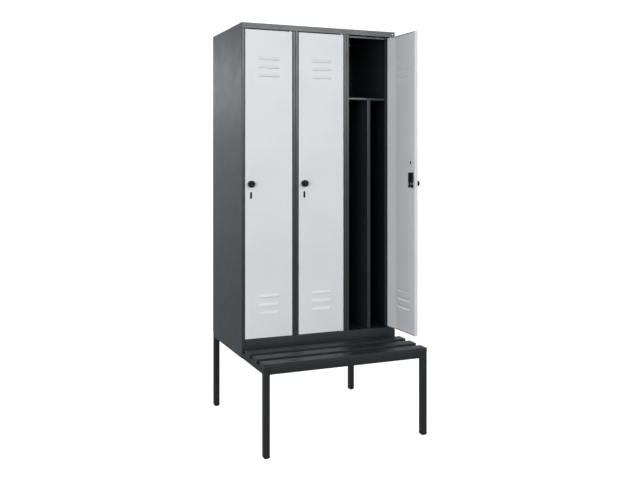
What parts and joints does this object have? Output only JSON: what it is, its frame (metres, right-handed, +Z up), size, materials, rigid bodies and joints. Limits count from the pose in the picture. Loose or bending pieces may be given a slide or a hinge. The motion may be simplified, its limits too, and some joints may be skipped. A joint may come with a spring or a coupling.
{
  "type": "clothes locker with bench",
  "caption": "Steel clothes locker with louvred hinged doors, hat shelves and divided compartments, on a square-tube underframe with a slatted bench in front.",
  "frame": {"origin": "on the floor, in the middle of the width and of the whole depth", "axes": "+X to the right as seen from the front, +Y from the bench to the back, +Z up"},
  "size_m": [0.8993, 0.812, 2.09],
  "materials": {
    "cabinet_paint": "anthracite powder coat, satin",
    "door_paint": "light grey powder coat, satin",
    "frame_paint": "dark grey powder coat, satin",
    "slat_finish": "dark grey, fine grain",
    "foot_plastic": "black, matt",
    "lock_plastic": "black, semi-matt",
    "pin_steel": "zinc plated",
    "rail_steel": "bright tube"
  },
  "bodies": {
    "cabinet": {"leg_front_left": "frame_paint", "leg_front_right": "frame_paint", "leg_rear_left": "frame_paint", "leg_rear_right": "frame_paint", "side_rail_left": "frame_paint", "side_rail_right": "frame_paint", "front_rail": "frame_paint", "middle_rail": "frame_paint", "rear_rail": "frame_paint", "foot_front_left": "foot_plastic", "foot_front_right": "foot_plastic", "foot_rear_left": "foot_plastic", "foot_rear_right": "foot_plastic", "bench_slat_1": "slat_finish", "bench_slat_2": "slat_finish", "bench_slat_3": "slat_finish", "side_panel_left": "cabinet_paint", "side_panel_right": "cabinet_paint", "partition_1_left_sheet": "cabinet_paint", "partition_1_right_sheet": "cabinet_paint", "partition_2_left_sheet": "cabinet_paint", "partition_2_right_sheet": "cabinet_paint", "back_panel": "cabinet_paint", "roof": "cabinet_paint", "floor_tray": "cabinet_paint", "hat_shelf_1": "cabinet_paint", "divider_1": "cabinet_paint", "hat_shelf_2": "cabinet_paint", "divider_2": "cabinet_paint", "hat_shelf_3": "cabinet_paint", "divider_3": "cabinet_paint", "clothes_rail_1": "rail_steel", "clothes_rail_2": "rail_steel", "clothes_rail_3": "rail_steel", "door_1_top_pin": "pin_steel", "door_1_bottom_pin": "pin_steel", "door_2_top_pin": "pin_steel", "door_2_bottom_pin": "pin_steel", "door_3_top_pin": "pin_steel", "door_3_bottom_pin": "pin_steel"},
    "door_1": {"door_1_pan": "door_paint", "door_1_stiffener": "door_paint", "door_1_lock_case": "lock_plastic", "door_1_slot_plate": "lock_plastic"},
    "knob_1": {"door_1_knob": "lock_plastic"},
    "bolt_1": {"door_1_bolt": "pin_steel"},
    "door_2": {"door_2_pan": "door_paint", "door_2_stiffener": "door_paint", "door_2_lock_case": "lock_plastic", "door_2_slot_plate": "lock_plastic"},
    "knob_2": {"door_2_knob": "lock_plastic"},
    "bolt_2": {"door_2_bolt": "pin_steel"},
    "door_3": {"door_3_pan": "door_paint", "door_3_stiffener": "door_paint", "door_3_lock_case": "lock_plastic", "door_3_slot_plate": "lock_plastic"},
    "knob_3": {"door_3_knob": "lock_plastic"},
    "bolt_3": {"door_3_bolt": "pin_steel"}
  },
  "joints": [
    {"name": "door_1_hinge", "type": "hinge", "parent": "cabinet", "child": "door_1", "pos_m": [-0.1742, -0.0875, 1.2724], "axis": [0, 0, 1], "range_deg": [0, 110]},
    {"name": "door_2_hinge", "type": "hinge", "parent": "cabinet", "child": "door_2", "pos_m": [0.1208, -0.0875, 1.2724], "axis": [0, 0, 1], "range_deg": [0, 110]},
    {"name": "door_3_hinge", "type": "hinge", "parent": "cabinet", "child": "door_3", "pos_m": [0.4158, -0.0875, 1.2724], "axis": [0, 0, 1], "range_deg": [-92, 18]},
    {"name": "door_1_knob_turn", "type": "hinge", "parent": "door_1", "child": "knob_1", "pos_m": [-0.3933, -0.094, 1.272], "axis": [0, -1, 0], "range_deg": [0, 90]},
    {"name": "door_2_knob_turn", "type": "hinge", "parent": "door_2", "child": "knob_2", "pos_m": [-0.0983, -0.094, 1.272], "axis": [0, -1, 0], "range_deg": [0, 90]},
    {"name": "door_3_knob_turn", "type": "hinge", "parent": "door_3", "child": "knob_3", "pos_m": [0.42994, -0.30624, 1.272], "axis": [0.9994, 0.0349, 0], "range_deg": [0, 90]},
    {"name": "door_1_bolt_slide", "type": "slide", "parent": "door_1", "child": "bolt_1", "axis": [-1, 0, 0], "range_m": [0, 0.01]},
    {"name": "door_2_bolt_slide", "type": "slide", "parent": "door_2", "child": "bolt_2", "axis": [-1, 0, 0], "range_m": [0, 0.01]},
    {"name": "door_3_bolt_slide", "type": "slide", "parent": "door_3", "child": "bolt_3", "axis": [0.0349, -0.9994, 0], "range_m": [0, 0.01]}
  ],
  "couplings": [
    {"joint": "door_1_bolt_slide", "follows": "door_1_knob_turn", "m_per_rad": 0.0063661},
    {"joint": "door_2_bolt_slide", "follows": "door_2_knob_turn", "m_per_rad": 0.0063661},
    {"joint": "door_3_bolt_slide", "follows": "door_3_knob_turn", "m_per_rad": 0.0063661}
  ]
}
